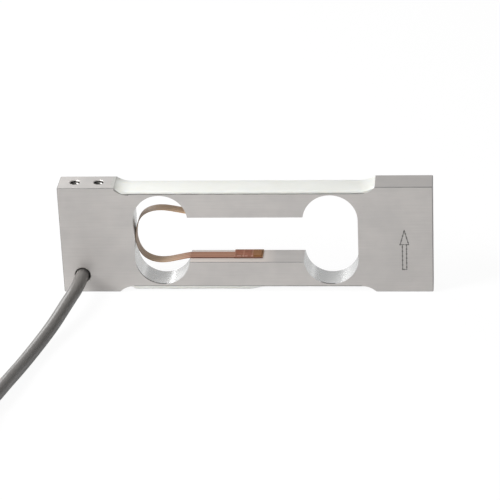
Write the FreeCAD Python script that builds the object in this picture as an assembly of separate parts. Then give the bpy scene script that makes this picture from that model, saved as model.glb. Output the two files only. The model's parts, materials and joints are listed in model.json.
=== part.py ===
import FreeCAD, Part
import math
import os

# A single-point weighing load cell, in millimetres.
# X runs along the cell, Y through its thickness and Z up. The cell stands on the lower faces of
# its two end blocks, and the origin is at the bottom centre of the metal body.

# Elastic body: one bar with a dog-bone cut-out
BODY_L = 82.5
BODY_H = 25.4
BODY_W = 6.5
BLOCK_L = 12.6          # full-height block at each end
RECESS = 1.4            # depth of the sealed recess, above and below
STEP_R = 4.5            # cutter radius at the ends of a recess
FLEX_T = 0.5            # metal left over and under each bore
BORE_R = 6.05
BORE_FROM_BLOCK = 9.9   # from each bore's axis to its end block
SLOT_H = 11.0           # height of the slot between the bores
EDGE = 0.15             # edge break on the end blocks
PAST = 1.0              # cutting shapes run this far past a face

# Tapped holes, M2.5, two in each end block
TAP_R = 1.025
THREAD_MOUTH_R = 1.25
SCREW_PITCH = 5.3
SCREW_DEPTH = 8.0
DRILL_POINT = math.radians(59)

# Cable entry: a blind hole in the front face, and a slanted passage to the lower recess
ENTRY_R = 1.75
ENTRY_FROM_END = 4.4
ENTRY_UP = 4.17
ENTRY_DEPTH = 4.9
ENTRY_BREAK = 0.1
PASSAGE_R = 0.9
PASSAGE_Y = 0.55
PASSAGE_DROP = 0.287    # fall of the passage for each millimetre along X
PASSAGE_LEAD = 0.5      # the axis meets the jacket's height this far right of the jacket
PASSAGE_PAST = 3.5      # it breaks out of the lower recess before this far along its floor
FEED_HOLE_R = 0.6       # hole through each beam at mid-length
FEED_HOLE_X = 0.2

# Silicone sealant over the gauges
SEAL_CROWN = 0.97
SEAL_SHOULDER = 0.68
SEAL_EDGE = 0.32
SEAL_SHOULDER_IN = 0.55     # the shoulder's distance from the side
SEAL_BEND_Y = 0.3           # middle of the shoulder's rounding, as shares of its width and height
SEAL_BEND_Z = 0.72
SEAL_PILE = 1.25            # height of the sealant where it climbs a step
SEAL_PILE_L = 3.6
SEAL_PILE_EDGE = 0.9        # shares of that height left at the side and at the shoulder
SEAL_PILE_SHOULDER = 0.98
SEAL_STEPS = 4
LOWER_SEAL_MORE = 0.16      # the lower one also covers the cable's cores

# Strain gauges and terminal strips
GAUGE_L = 4.6
GAUGE_W = 2.3
GAUGE_T = 0.08
GRID_L = 2.6
GRID_W = 1.5
GRID_LINES = 5
GRID_IN = 0.3               # from the carrier's outer end
FOIL_T = 0.03
TAB_Y = 0.85
TAB_W = 0.5
TAB_L = 0.9
TAB_IN = 0.15               # from the carrier's inner end
STRIP_L = 3.2
STRIP_W = 5.8
STRIP_T = 0.3
STRIP_CLEAR = 0.9           # from the strip to the hole at mid-length
PAD_T = 0.05
PAD_IN = 0.2
PADS = ((-2.85, -2.05), (-1.85, -0.4), (-0.25, 0.25), (0.4, 1.85), (2.05, 2.85))

# Flexible circuit: a ribbon in a loop through the left bore, with a pad at each end
RIBBON_T = 0.18
RIBBON_FRONT = -0.85
RIBBON_BACK = 1.95
PAD_LEFT = -3.0
PAD_RIGHT = 3.4
PAD_FRONT = -0.95
PAD_BACK = 3.2
FLAT_END = 0.1              # the ribbon leaves the beam this far before its edge
RIBBON_WALL = 0.1           # gap between the ribbon and the bore's wall
RIBBON_STEPS = 9
RESISTOR_L = 1.8
RESISTOR_W = 3.0
RESISTOR_T = 0.12
RESISTOR_IN = 0.35

# Wires
CORE_D = 0.5                # insulated core of the cable
OUTER_LANE = 2.4
INNER_LANE = 1.55
CORE_STEP = 0.3             # half the distance between two cores in the passage
BUNDLE_STEP = 0.36          # the same inside the cable
UPPER_CORE_OUT = 0.8        # where the two upper and the two lower cores leave the passage,
LOWER_CORE_OUT = -1.2       # measured from the left end of the recess floor
LANE_RUN = 3.1              # length over which a core moves to its lane
CORE_ON_STRIP = 1.3
JUMPER_D = 0.2
JUMPER_ON_TAB = 0.6
JUMPER_ON_STRIP = 0.6
JUMPER_RISE = (0.8, 2.4)    # it climbs onto the strip between these distances from its end
FEED_D = 0.25
FEEDS = ((-0.55, 0.15, -0.3), (0.0, -0.3, 0.0), (0.55, 0.15, 0.3))    # on its pad, then in the hole
FEED_BEND = 0.35
FEED_ON_STRIP = 0.9
WIRE_CLEAR = 0.02
WIRE_BEND = 2.0             # most length of wire that a bend takes from each run
WIRE_SIDES = 8

# Cable
CABLE_D = 3.0
CABLE_OFF = (-0.1, -0.1)    # the jacket lies against the lower left of its hole
JACKET_IN = 2.35            # length of jacket inside the hole
POTTING_IN = 1.0            # the potting stops this far below the face
FLOOR_CLEAR = 0.05
CABLE_Z = CABLE_D / 2 + FLOOR_CLEAR

# Coil of put-away cable and its tie
TIE_T = 0.4
TIE_W = 2.5
TIE_CLEAR = 0.08
TURN_OUTER = 18.85
TURN_INNER = 15.75
TURN_TOP = 17.3
SKIN = 0.03                 # the coil's outer shape stands this far outside its turns
TURN_Z = TIE_T + TIE_CLEAR + SKIN + CABLE_D / 2
TOP_RISE = 2.85
STUB_IN = 12.2
STUB_OUT = 13.2
COIL_TOP_R = 1.12           # half the width of the coil's flat top
COIL_CORNER = 0.6
COIL_TOP_RUN = 0.5          # width and drop of the bevel beside the flat top
COIL_TOP_DROP = 0.45
COIL_SIDE_RISE = 0.9        # its upright sides end this far above the lower turns' middle
TIE_HEAD_W = 3.8
TIE_HEAD_D = 2.2
TIE_HEAD_H = 2.4
TIE_HEAD_DROP = 0.2         # the head's middle is this far below the lower turns' middle
TIE_TAIL_W = 2.2
TIE_TAIL_T = 0.6
TIE_TAIL_H = 1.4
TIE_TAIL_OUT = 0.8          # from the turns to the trimmed tail
TIE_BEARING = -45           # degrees round the coil from its front

# Far end of the cable: sleeve, cores and shield
SLEEVE_R = 1.75
SLEEVE_OVER = 3.6           # length of sleeve on the jacket
SLEEVE_L = 9.0
SLEEVE_NOSE_R = 1.2
SLEEVE_TAPER = 2.0
SLEEVE_PAST = 0.4           # the sleeve narrows this far past the jacket's end
LEAD_L = 17.0
TIP_L = 4.0
TIP_R = 0.17
SHIELD_R = 0.2
SHIELD_SPREAD = 0.3
FAN = ((-1, 1, -4.6), (-1, -1, -2.2), (1, -1, 2.6), (1, 1, 5.0))    # place in the jacket, then spread
FAN_SHAPE = ((0.4, 0.42, 0.8), (0.75, 0.9, 1.0), (1.0, 1.0, 1.0))   # shares along, across and down

# Places worked out from these sizes
NEAR = 0.01
FRONT = -BODY_W / 2
BACK = BODY_W / 2
MID_Z = BODY_H / 2
UPPER_FLOOR = BODY_H - RECESS
LOWER_FLOOR = RECESS
STEP_RUN = math.sqrt(STEP_R ** 2 - (STEP_R - RECESS) ** 2)
STEP_X = BODY_L / 2 - BLOCK_L
FLOOR_X = STEP_X - STEP_RUN
BORE_X = STEP_X - BORE_FROM_BLOCK
BORE_RISE = MID_Z - RECESS - FLEX_T - BORE_R
SLOT_TOP = MID_Z + SLOT_H / 2
SLOT_BOTTOM = MID_Z - SLOT_H / 2
SLOT_X = BORE_X - math.sqrt(BORE_R ** 2 - (SLOT_H / 2 - BORE_RISE) ** 2)
BLOCK_X = BODY_L / 2 - BLOCK_L / 2
ENTRY_X = -BODY_L / 2 + ENTRY_FROM_END
ENTRY_BOTTOM = FRONT + ENTRY_DEPTH
CABLE_X0 = ENTRY_X + CABLE_OFF[0]
CABLE_Z0 = ENTRY_UP + CABLE_OFF[1]
JACKET_END = FRONT + JACKET_IN
STRIP_RIGHT = FEED_HOLE_X - FEED_HOLE_R - STRIP_CLEAR
STRIP_LEFT = STRIP_RIGHT - STRIP_L
CORE_OFFSETS = ((-1, 1), (-1, -1), (1, -1), (1, 1))
CORE_NAMES = ("red", "black", "green", "white")
TAIL_TOP = TURN_Z + TOP_RISE
TAIL_REST = SLEEVE_R + FLOOR_CLEAR

# The cable's route from its hole to the coil, and from the coil to the sleeve. The first point is
# the jacket's end inside the hole. From there it droops to the floor and drifts to the left.
LEAD_ROUTE = [
    (CABLE_X0, JACKET_END, CABLE_Z0),
    (CABLE_X0, -7.6, CABLE_Z0),
    (-38.5, -15.6, 3.65),
    (-40.45, -24.0, 2.45),
    (-42.7, -32.3, 1.68),
    (-44.85, -41.3, CABLE_Z),
    (-46.6, -49.3, TURN_Z),
    (-48.3, -56.4, TURN_Z),
]
TAIL_SHAPE = [(0.0, 0.0), (0.0, 5.6), (0.5, 13.6), (1.7, 21.4), (3.3, 28.9)]
TAIL_HEIGHTS = [TAIL_TOP, TAIL_TOP, (TAIL_TOP + TAIL_REST) / 2, TAIL_REST, TAIL_REST]


def v(x, y, z):
    return FreeCAD.Vector(x, y, z)


def box(x0, x1, y0, y1, z0, z1):
    return Part.makeBox(x1 - x0, y1 - y0, z1 - z0, v(x0, y0, z0))


def cylinder(radius, start, end):
    return Part.makeCylinder(radius, (end - start).Length, start, end - start)


def fused(shapes):
    return shapes[0].fuse(shapes[1:]).removeSplitter()


def prism(edges, y0, y1):
    """The area inside edges drawn in the XZ plane, made solid from y0 to y1."""
    face = Part.Face(Part.Wire(Part.__sortEdges__(edges)))
    face.translate(v(0, y0, 0))
    return face.extrude(v(0, y1 - y0, 0))


def rounded_path(points, most):
    """Straight runs joined by tangent arcs: the wire, the arcs' radii and the whole length."""
    edges, radii, start = [], [], points[0]
    for before, here, after in zip(points, points[1:], points[2:]):
        back = (before - here).normalize()
        on = (after - here).normalize()
        half = (math.pi - back.getAngle(on)) / 2
        if half < 1e-4:
            continue
        reach = min(most, 0.45 * min((before - here).Length, (after - here).Length))
        radius = reach / math.tan(half)
        middle = here + (back + on).normalize() * (math.hypot(radius, reach) - radius)
        edges.append(Part.LineSegment(start, here + back * reach).toShape())
        edges.append(Part.Arc(here + back * reach, middle, here + on * reach).toShape())
        radii.append(radius)
        start = here + on * reach
    edges.append(Part.LineSegment(start, points[-1]).toShape())
    return Part.Wire(edges), radii, sum(e.Length for e in edges)


def cable(points, radius, label):
    """A round cable along rounded_path; its bends and its volume are printed."""
    points = [v(*p) for p in points]
    path, radii, length = rounded_path(points, 0.45 * BODY_L)
    ring = Part.Wire([Part.Circle(points[0], points[1] - points[0], radius).toShape()])
    solid = path.makePipeShell([ring], True, False)
    share = solid.Volume / (math.pi * radius ** 2 * length)
    radii = [round(bend, 1) for bend in radii]
    print(label, "length %.1f" % length, "radii", radii, "volume share %.4f" % share)
    return solid


def wire(points, radius, most=WIRE_BEND):
    """A fine wire along rounded_path, with an eight-sided section to keep it light."""
    points = [v(*p) for p in points]
    path = rounded_path(points, most)[0]
    circle = Part.Circle(points[0], points[1] - points[0], radius).toShape()
    return path.makePipeShell([Part.makePolygon(circle.discretize(WIRE_SIDES + 1))], True, False)


def recess_edges(floor_z, out):
    """The recess outline from the left step to the right one; out is 1 above and -1 below."""
    face_z = floor_z + out * RECESS
    centre_z = floor_z + out * STEP_R
    turn = math.acos((STEP_R - RECESS) / STEP_R) / 2
    dx, dz = STEP_R * math.sin(turn), STEP_R * math.cos(turn)
    mid_z = centre_z - out * dz
    left = Part.Arc(v(-STEP_X, 0, face_z), v(-FLOOR_X - dx, 0, mid_z), v(-FLOOR_X, 0, floor_z))
    right = Part.Arc(v(FLOOR_X, 0, floor_z), v(FLOOR_X + dx, 0, mid_z), v(STEP_X, 0, face_z))
    floor = Part.LineSegment(v(-FLOOR_X, 0, floor_z), v(FLOOR_X, 0, floor_z))
    return [left.toShape(), floor.toShape(), right.toShape()]


def line(x0, z0, x1, z1):
    return Part.LineSegment(v(x0, 0, z0), v(x1, 0, z1)).toShape()


def bar_blank():
    """The milled bar with both recesses, before it is drilled."""
    end = BODY_L / 2
    edges = recess_edges(LOWER_FLOOR, -1) + recess_edges(UPPER_FLOOR, 1)
    edges += [line(-end, 0, -STEP_X, 0), line(STEP_X, 0, end, 0)]
    edges += [line(-end, BODY_H, -STEP_X, BODY_H), line(STEP_X, BODY_H, end, BODY_H)]
    edges += [line(-end, 0, -end, BODY_H), line(end, 0, end, BODY_H)]
    return prism(edges, FRONT, BACK)


def block_edges(solid):
    """The straight outer edges of the two end blocks, which get an edge break."""
    found = []
    for edge in solid.Edges:
        if not isinstance(edge.Curve, Part.Line):
            continue
        span = edge.BoundBox
        on_side = span.YLength < NEAR and abs(abs(span.YMin) - BACK) < NEAR
        on_end = span.XLength < NEAR and abs(abs(span.XMin) - BODY_L / 2) < NEAR
        on_face = span.ZLength < NEAR and min(abs(span.ZMin), abs(span.ZMin - BODY_H)) < NEAR
        if (on_end and (on_side or on_face)) or (on_side and on_face):
            found.append(edge)
    return found


def dog_bone():
    """Two upright round-ended bores joined by a slot, right through the bar."""
    y0, y1 = FRONT - PAST, BACK + PAST
    cuts = [box(-BORE_X, BORE_X, y0, y1, SLOT_BOTTOM, SLOT_TOP)]
    for x in (-BORE_X, BORE_X):
        for z in (MID_Z - BORE_RISE, MID_Z + BORE_RISE):
            cuts.append(cylinder(BORE_R, v(x, y0, z), v(x, y1, z)))
        cuts.append(box(x - BORE_R, x + BORE_R, y0, y1, MID_Z - BORE_RISE, MID_Z + BORE_RISE))
    return fused(cuts)


def tapped_hole(x, mouth_z, out):
    """A blind tapped hole with its drill point and its small countersink; out points out of it."""
    mouth = v(x, 0, mouth_z)
    bottom = v(x, 0, mouth_z - out * SCREW_DEPTH)
    point = Part.makeCone(TAP_R, 0, TAP_R / math.tan(DRILL_POINT), bottom, v(0, 0, -out))
    depth = THREAD_MOUTH_R - TAP_R
    sink = Part.makeCone(TAP_R, THREAD_MOUTH_R, depth, v(x, 0, mouth_z - out * depth), v(0, 0, out))
    return fused([cylinder(TAP_R, bottom, mouth), point, sink])


def passage_z(x):
    """Height of the slanted passage's axis."""
    return CABLE_Z0 - PASSAGE_DROP * (x - CABLE_X0 - PASSAGE_LEAD)


def cable_entry():
    mouth = v(ENTRY_X, FRONT, ENTRY_UP)
    hole = cylinder(ENTRY_R, mouth, v(ENTRY_X, ENTRY_BOTTOM, ENTRY_UP))
    rim = Part.makeCone(ENTRY_R + ENTRY_BREAK, ENTRY_R, ENTRY_BREAK, mouth, v(0, 1, 0))
    far_x = -FLOOR_X + PASSAGE_PAST
    start = v(ENTRY_X, PASSAGE_Y, passage_z(ENTRY_X))
    passage = cylinder(PASSAGE_R, start, v(far_x, PASSAGE_Y, passage_z(far_x)))
    return fused([hole, rim, passage])


def elastic_body():
    blank = bar_blank()
    blank = blank.makeChamfer(EDGE, block_edges(blank))
    cuts = [dog_bone(), cable_entry()]
    for side in (-1, 1):
        x = BLOCK_X + side * SCREW_PITCH / 2
        cuts.append(tapped_hole(-x, BODY_H, 1))
        cuts.append(tapped_hole(x, 0, -1))
    for z0, z1 in ((LOWER_FLOOR, SLOT_BOTTOM), (SLOT_TOP, UPPER_FLOOR)):
        cuts.append(cylinder(FEED_HOLE_R, v(FEED_HOLE_X, 0, z0 - PAST), v(FEED_HOLE_X, 0, z1 + PAST)))
    return blank.cut(cuts).removeSplitter()


def seal_section(x, floor_z, out, edge, shoulder, crown):
    """The sealant's outline across the cell: upright edges, rounded shoulders, a low crown."""
    def at(y, rise):
        return v(x, y, floor_z + out * rise)
    inner = BACK - SEAL_SHOULDER_IN
    bend_y = BACK - SEAL_BEND_Y * SEAL_SHOULDER_IN
    bend = edge + SEAL_BEND_Z * (shoulder - edge)
    edges = [
        Part.LineSegment(at(-BACK, -PAST), at(-BACK, edge)).toShape(),
        Part.Arc(at(-BACK, edge), at(-bend_y, bend), at(-inner, shoulder)).toShape(),
        Part.Arc(at(-inner, shoulder), at(0, crown), at(inner, shoulder)).toShape(),
        Part.Arc(at(inner, shoulder), at(bend_y, bend), at(BACK, edge)).toShape(),
        Part.LineSegment(at(BACK, edge), at(BACK, -PAST)).toShape(),
        Part.LineSegment(at(BACK, -PAST), at(-BACK, -PAST)).toShape(),
    ]
    return Part.Wire(edges)


def pocket(piece):
    """The box that the silicone leaves round a small piece."""
    span = piece.optimalBoundingBox(False)
    low = v(span.XMin, span.YMin, span.ZMin) - v(WIRE_CLEAR, WIRE_CLEAR, WIRE_CLEAR)
    high = v(span.XMax, span.YMax, span.ZMax) + v(WIRE_CLEAR, WIRE_CLEAR, WIRE_CLEAR)
    return box(low.x, high.x, low.y, high.y, low.z, high.z)


def sealant(floor_z, out, more, covered):
    """Silicone poured into a recess: domed across the cell, climbing the step at each end."""
    face_z = floor_z + out * RECESS
    outline = recess_edges(floor_z, out) + [line(-STEP_X, face_z, STEP_X, face_z)]
    recess = prism(outline, FRONT - PAST, BACK + PAST)
    plain = (SEAL_EDGE, SEAL_SHOULDER + more, SEAL_CROWN + more)
    piled = (SEAL_PILE * SEAL_PILE_EDGE, SEAL_PILE * SEAL_PILE_SHOULDER, SEAL_PILE)
    climb = []
    for i in range(SEAL_STEPS + 1):
        share = i / SEAL_STEPS
        x = STEP_X - SEAL_PILE_L * (1 - share)
        climb.append((x, [low + share ** 2 * (high - low) for low, high in zip(plain, piled)]))
    stations = [(-x, sizes) for x, sizes in reversed(climb)] + climb
    dome = Part.makeLoft([seal_section(x, floor_z, out, *sizes) for x, sizes in stations], True, True)
    return recess.common(dome).cut(covered)


def strain_gauge(x, floor_z, out, inward):
    """Foil gauge: a thin carrier, with the raised grid and two solder tabs on one end."""
    face = floor_z + out * GAUGE_T
    def layer(x0, x1, y0, y1, z0, z1):
        return box(min(x0, x1), max(x0, x1), y0, y1, min(z0, z1), max(z0, z1))
    half = GAUGE_L / 2
    pieces = [layer(x - half, x + half, -GAUGE_W / 2, GAUGE_W / 2, floor_z, face)]
    grid_out = x - inward * (half - GRID_IN)
    pitch = GRID_W / GRID_LINES
    foil = face + out * FOIL_T
    for i in range(GRID_LINES):
        y = -GRID_W / 2 + i * pitch
        pieces.append(layer(grid_out, grid_out + inward * GRID_L, y, y + pitch / 2, face, foil))
    tab_x = x + inward * (half - TAB_IN)
    for y in (-TAB_Y, TAB_Y):
        y0, y1 = y - TAB_W / 2, y + TAB_W / 2
        pieces.append(layer(tab_x - inward * TAB_L, tab_x, y0, y1, face, foil))
    return fused(pieces)


def strip_side(out):
    return UPPER_FLOOR if out > 0 else LOWER_FLOOR


def terminal_strip(out):
    """Small board with five solder pads, bonded to the recess floor beside the feed hole."""
    floor_z = strip_side(out)
    face = floor_z + out * STRIP_T
    low, middle, high = sorted((floor_z, face, face + out * PAD_T))
    board, pads = ((low, middle), (middle, high)) if out > 0 else ((middle, high), (low, middle))
    pieces = [box(STRIP_LEFT, STRIP_RIGHT, -STRIP_W / 2, STRIP_W / 2, *board)]
    for y0, y1 in PADS:
        pieces.append(box(STRIP_LEFT + PAD_IN, STRIP_RIGHT - PAD_IN, y0, y1, *pads))
    return fused(pieces)


def jumper_wire(side, y, out):
    """Straight fine wire from a gauge's tab to the terminal strip."""
    tab_x = side * (BORE_X - GAUGE_L / 2 + JUMPER_ON_TAB)
    lift = GAUGE_T + FOIL_T + JUMPER_D / 2 + WIRE_CLEAR
    pad_lift = STRIP_T + PAD_T + JUMPER_D / 2 + WIRE_CLEAR
    pad_x = STRIP_LEFT + JUMPER_ON_STRIP if side < 0 else STRIP_RIGHT - JUMPER_ON_STRIP
    near_x, far_x = [pad_x + side * rise for rise in JUMPER_RISE]
    z0, z1 = strip_side(out) + out * lift, strip_side(out) + out * pad_lift
    points = [(tab_x, y, z0), (far_x, y, z0), (near_x, y, z1), (pad_x, y, z1)]
    return wire(points, JUMPER_D / 2)


def feed_wire(index, out):
    """Short wire from the terminal strip, through the hole in the beam, to the flexible circuit."""
    pad_y, dx, hole_y = FEEDS[index]
    hole_x = FEED_HOLE_X + dx
    z = strip_side(out) + out * (STRIP_T + PAD_T + FEED_D / 2 + WIRE_CLEAR)
    end_z = SLOT_TOP if out > 0 else SLOT_BOTTOM
    start_x = STRIP_RIGHT - FEED_ON_STRIP
    points = [(start_x, pad_y, z), (STRIP_RIGHT, pad_y, z), (hole_x, hole_y, z), (hole_x, hole_y, end_z)]
    return wire(points, FEED_D / 2, FEED_BEND)


def core_wire(index):
    """One core, from the cable's end through the passage and along its lane to the lower strip."""
    dx, dz = CORE_OFFSETS[index]
    start = (CABLE_X0 + dx * BUNDLE_STEP, JACKET_END, CABLE_Z0 + dz * BUNDLE_STEP)
    passage_y = PASSAGE_Y - dx * CORE_STEP
    lane_z = LOWER_FLOOR - STRIP_T - PAD_T - CORE_D / 2 - WIRE_CLEAR
    lane_y = -dx * (INNER_LANE if dz > 0 else OUTER_LANE)
    out_x = -FLOOR_X + (UPPER_CORE_OUT if dz > 0 else LOWER_CORE_OUT)
    points = [
        start,
        (start[0], passage_y, start[2]),
        (out_x, passage_y, passage_z(out_x) + dz * CORE_STEP),
        (out_x + LANE_RUN, lane_y, lane_z),
        (STRIP_LEFT + CORE_ON_STRIP, lane_y, lane_z),
    ]
    return wire(points, CORE_D / 2)


def cable_potting(inside):
    """Epoxy that holds the jacket and the cores in the cable hole."""
    start = v(ENTRY_X, FRONT + POTTING_IN, ENTRY_UP)
    plug = cylinder(ENTRY_R, start, v(ENTRY_X, ENTRY_BOTTOM, ENTRY_UP))
    return plug.cut(inside)


def ribbon_line():
    """The ribbon's middle line in the left bore: out of the upper beam, down the bore, onto the lower one."""
    top_z, bottom_z = SLOT_TOP - RIBBON_T / 2, SLOT_BOTTOM + RIBBON_T / 2
    wall_x = -BORE_X - BORE_R + RIBBON_T / 2 + RIBBON_WALL
    start_x = -SLOT_X - FLAT_END
    points = [
        (start_x, top_z),
        (-BORE_X + 2.2, SLOT_TOP + 0.6),
        (-BORE_X - 1.0, SLOT_TOP + 0.78),
        (-BORE_X - 3.9, SLOT_TOP - 0.3),
        (wall_x + 0.35, MID_Z + 2.5),
        (wall_x, MID_Z - 0.4),
        (wall_x + 0.4, SLOT_BOTTOM + 2.1),
        (-BORE_X - 3.2, SLOT_BOTTOM - 0.35),
        (-BORE_X + 0.1, SLOT_BOTTOM - 0.95),
        (-BORE_X + 3.4, SLOT_BOTTOM - 0.36),
        (start_x, bottom_z),
    ]
    curve = Part.BSplineCurve()
    curve.interpolate(
        Points=[v(x, 0, z) for x, z in points],
        InitialTangent=v(-1, 0, 0.05),
        FinalTangent=v(1, 0, 0.05),
    )
    return curve


def flex_circuit():
    """Polyimide circuit in one piece: a pad under the upper beam, the loop, a pad on the lower beam."""
    curve = ribbon_line()
    first, last = curve.FirstParameter, curve.LastParameter
    sides = []
    for side in (-1, 1):
        points = []
        for i in range(RIBBON_STEPS + 1):
            u = first + (last - first) * i / RIBBON_STEPS
            along = curve.tangent(u)[0]
            points.append(curve.value(u) + v(-along.z, 0, along.x) * (side * RIBBON_T / 2))
        edge = Part.BSplineCurve()
        edge.interpolate(Points=points)
        sides.append(edge.toShape())
    ends = []
    for i in (0, -1):
        a, b = sides[0].Vertexes[i].Point, sides[1].Vertexes[i].Point
        ends.append(Part.LineSegment(a, b).toShape())
    loop = prism(sides + ends, RIBBON_FRONT, RIBBON_BACK)
    pieces = [loop]
    for z0 in (SLOT_TOP - RIBBON_T, SLOT_BOTTOM):
        z1 = z0 + RIBBON_T
        pieces.append(box(-SLOT_X - FLAT_END, PAD_LEFT, RIBBON_FRONT, RIBBON_BACK, z0, z1))
        pieces.append(box(PAD_LEFT, PAD_RIGHT, PAD_FRONT, PAD_BACK, z0, z1))
    return fused(pieces)


def compensation_resistor():
    """Foil resistor on the right end of the lower pad."""
    x1 = PAD_RIGHT - RESISTOR_IN
    y1 = PAD_BACK - RESISTOR_IN
    z0 = SLOT_BOTTOM + RIBBON_T
    return box(x1 - RESISTOR_L, x1, y1 - RESISTOR_W, y1, z0, z0 + RESISTOR_T)


def coil_frame():
    """Centre of the coil: the cable's last straight run before it touches the coil's outer turn."""
    end, before = v(*LEAD_ROUTE[-1]), v(*LEAD_ROUTE[-2])
    along = v(end.x - before.x, end.y - before.y, 0).normalize()
    touch = end + along * STUB_IN
    centre = touch + v(along.y, -along.x, 0) * TURN_OUTER
    return end, touch, v(centre.x, centre.y, 0)


def coil_section(grow):
    """Half-section of the coil's outer shape as (radius, height), larger by grow all round."""
    inner = TURN_INNER - CABLE_D / 2 - SKIN - grow
    outer = TURN_OUTER + CABLE_D / 2 + SKIN + grow
    low = TURN_Z - CABLE_D / 2 - SKIN - grow
    high = TURN_Z + TOP_RISE + CABLE_D / 2 + SKIN + grow
    side_z = TURN_Z + COIL_SIDE_RISE
    half = COIL_TOP_R + grow / 2
    wide = half + COIL_TOP_RUN
    bevel_z = high - COIL_TOP_DROP
    return [
        (inner + COIL_CORNER, low), (outer - COIL_CORNER, low), (outer, low + COIL_CORNER), (outer, side_z),
        (TURN_TOP + wide, bevel_z), (TURN_TOP + half, high), (TURN_TOP - half, high),
        (TURN_TOP - wide, bevel_z), (inner, side_z), (inner, low + COIL_CORNER),
    ]


def cable_coil():
    """Outer shape of the two and a half turns, with the straight stubs where the cable joins them."""
    end, touch, centre = coil_frame()
    corners = [v(centre.x + r, centre.y, z) for r, z in coil_section(0)]
    ring = Part.Face(Part.makePolygon(corners + corners[:1])).revolve(centre, v(0, 0, 1), 360)
    west = v(centre.x - TURN_TOP, centre.y, TURN_Z + TOP_RISE)
    stubs = [cylinder(CABLE_D / 2, end, touch), cylinder(CABLE_D / 2, west + v(0, STUB_OUT, 0), west)]
    return fused([ring] + stubs)


def tail_route():
    centre = coil_frame()[2]
    x0, y0 = centre.x - TURN_TOP, centre.y + STUB_OUT
    return [(x0 + x, y0 + y, z) for (x, y), z in zip(TAIL_SHAPE, TAIL_HEIGHTS)]


def coil_tie():
    """Nylon tie round the coil's turns, with its head and trimmed tail on the outer side."""
    centre = coil_frame()[2]
    def loop(grow):
        corners = [v(0, -r, z) for r, z in coil_section(grow)]
        face = Part.Face(Part.makePolygon(corners + corners[:1]))
        face.translate(v(centre.x - TIE_W / 2, centre.y, 0))
        return face.extrude(v(TIE_W, 0, 0))
    outer_r = TURN_OUTER + CABLE_D / 2 + SKIN + TIE_CLEAR
    y, top_z = centre.y - outer_r, TURN_Z - TIE_HEAD_DROP + TIE_HEAD_H / 2
    half_head, half_tail = TIE_HEAD_W / 2, TIE_TAIL_W / 2
    tail_y = y - TIE_TAIL_OUT
    head = box(centre.x - half_head, centre.x + half_head, y - TIE_HEAD_D, y, top_z - TIE_HEAD_H, top_z)
    x0, x1 = centre.x - half_tail, centre.x + half_tail
    trimmed = box(x0, x1, tail_y - TIE_TAIL_T, tail_y, top_z, top_z + TIE_TAIL_H)
    tie = fused([loop(TIE_CLEAR + TIE_T).cut(loop(TIE_CLEAR)), head, trimmed])
    tie.rotate(centre, v(0, 0, 1), TIE_BEARING)
    return tie


def end_frame():
    """Where the jacket stops at the far end, with the direction of the cable and the way across it."""
    route = tail_route()
    end, before = v(*route[-1]), v(*route[-2])
    along = (end - before).normalize()
    return end, along, v(along.y, -along.x, 0)


def end_sleeve(inside):
    """Heat-shrink sleeve over the jacket's end, drawn down onto the cores."""
    end, along, _ = end_frame()
    start = end - along * SLEEVE_OVER
    shoulder = end + along * SLEEVE_PAST
    nose_start = shoulder + along * SLEEVE_TAPER
    wide = cylinder(SLEEVE_R, start, shoulder)
    taper = Part.makeCone(SLEEVE_R, SLEEVE_NOSE_R, SLEEVE_TAPER, shoulder, along)
    nose = cylinder(SLEEVE_NOSE_R, nose_start, start + along * SLEEVE_L)
    return fused([wide, taper, nose]).cut(inside)


def lead_points(side, level, spread, length):
    """A core beyond the jacket: straight in the sleeve, then fanned out and down to the floor."""
    end, along, across = end_frame()
    nose = SLEEVE_L - SLEEVE_OVER
    rest = CORE_D / 2 + FLOOR_CLEAR
    start = end + across * (side * BUNDLE_STEP) + v(0, 0, level * BUNDLE_STEP)
    drop = v(0, 0, rest - end.z)
    points = [start, start + along * (nose + CORE_D)]
    for share, wide, down in FAN_SHAPE:
        points.append(end + along * (nose + share * length) + across * (wide * spread) + drop * down)
    return points


def lead(side, level, spread):
    points = lead_points(side, level, spread, LEAD_L - TIP_L)
    last = (points[-1] - points[-2]).normalize()
    tip = cylinder(TIP_R, points[-1], points[-1] + last * TIP_L)
    return wire(points, CORE_D / 2), tip


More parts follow.
